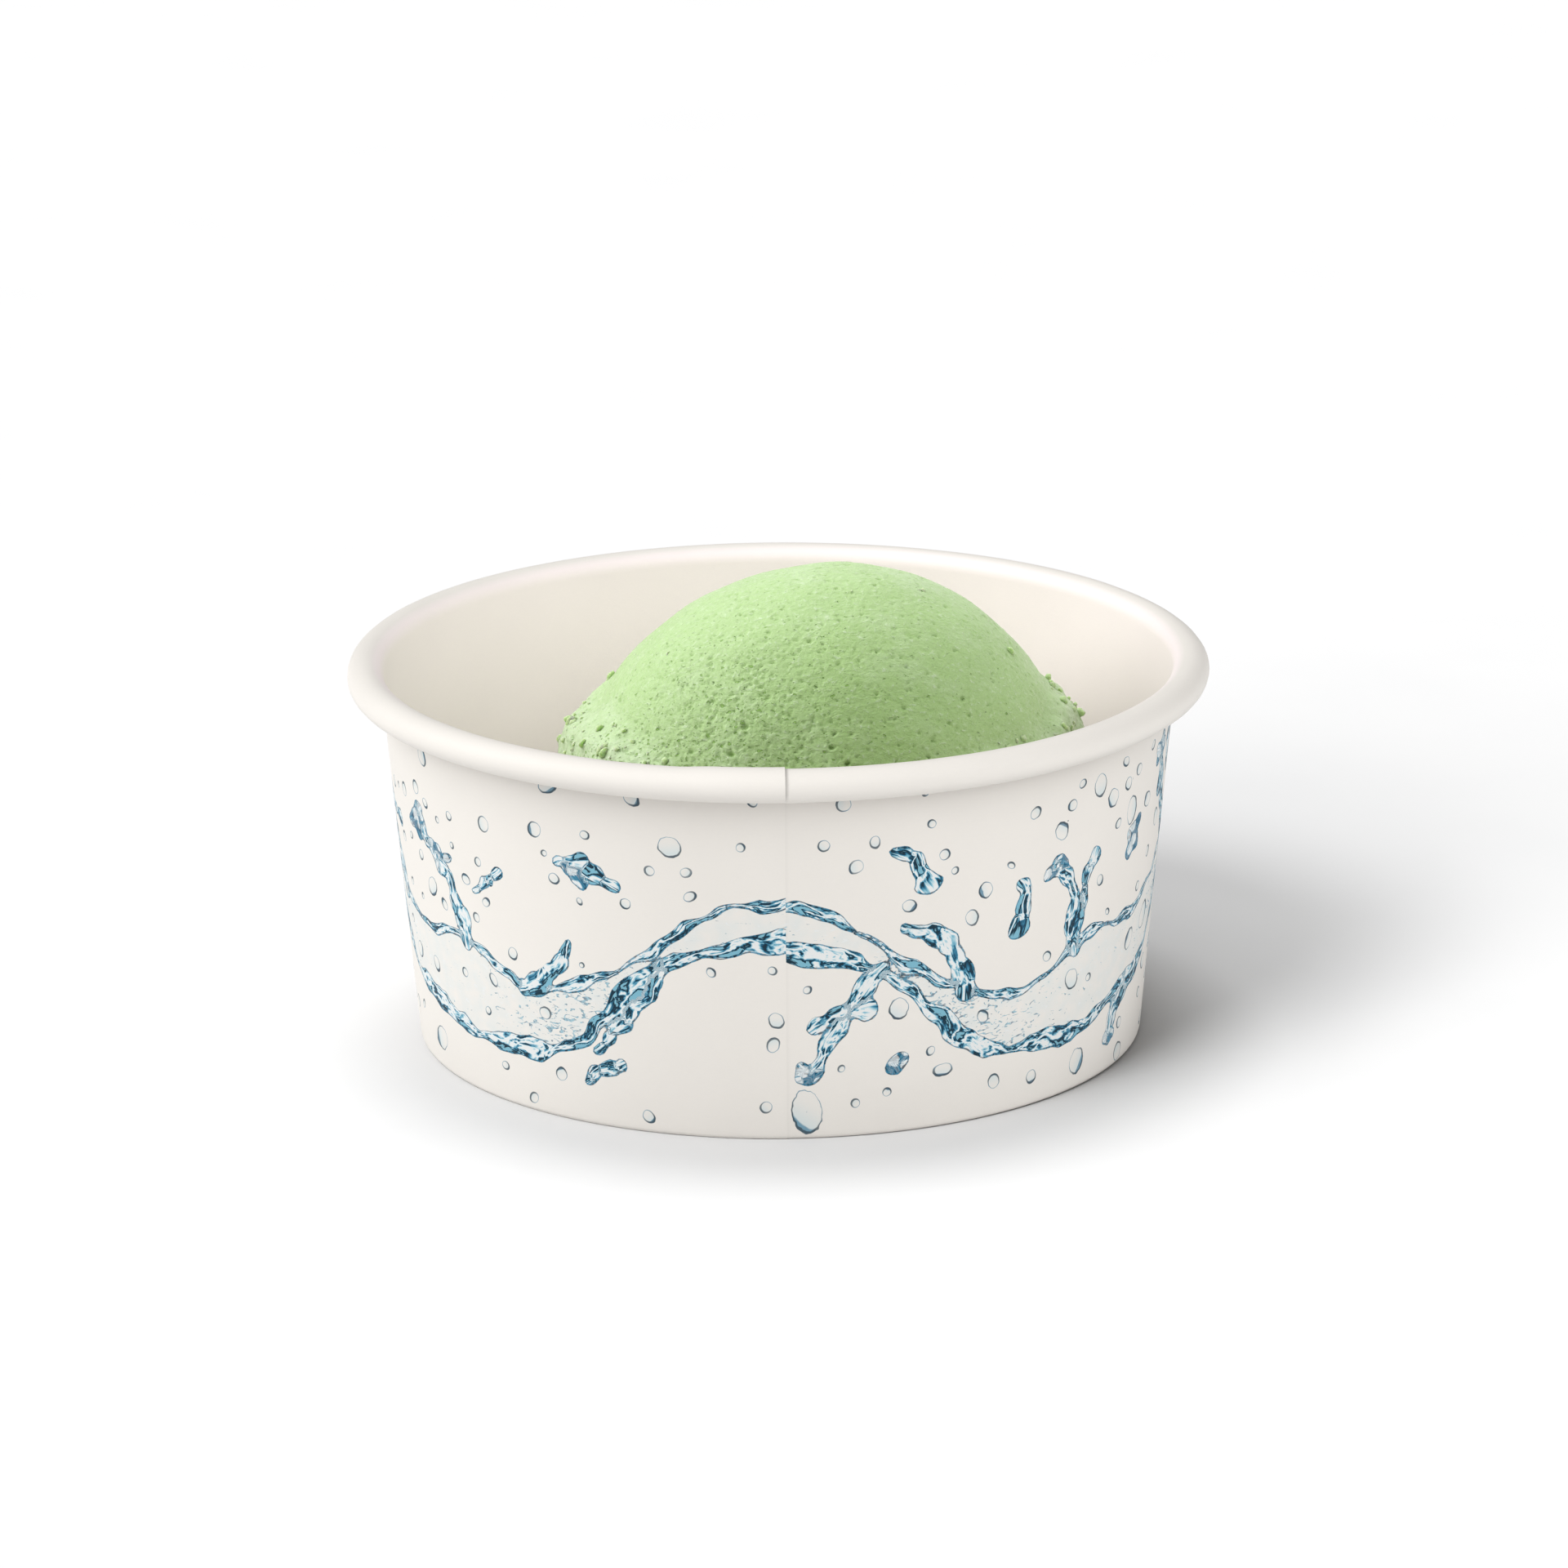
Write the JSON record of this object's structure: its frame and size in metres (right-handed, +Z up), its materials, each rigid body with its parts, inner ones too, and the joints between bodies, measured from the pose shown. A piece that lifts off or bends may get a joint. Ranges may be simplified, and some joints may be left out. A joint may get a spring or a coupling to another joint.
{
  "type": "sorbet cup",
  "caption": "Squat round paper dessert cup with a rolled lip and a recessed bottom, holding a scoop of pale green sorbet.",
  "frame": {"origin": "centre of the underside of the cup's foot, on the table", "axes": "+Z up along the cup's axis; the cup's side seam faces -Y; the scoop sits a little towards +X"},
  "size_m": [0.096, 0.096, 0.0522],
  "materials": {
    "cup_paper": "coated, satin, printed outside",
    "sorbet": "matte, frozen, finely pitted"
  },
  "bodies": {
    "root": {"cup_wall": "cup_paper", "cup_base": "cup_paper", "sorbet_scoop": "sorbet"}
  },
  "joints": []
}
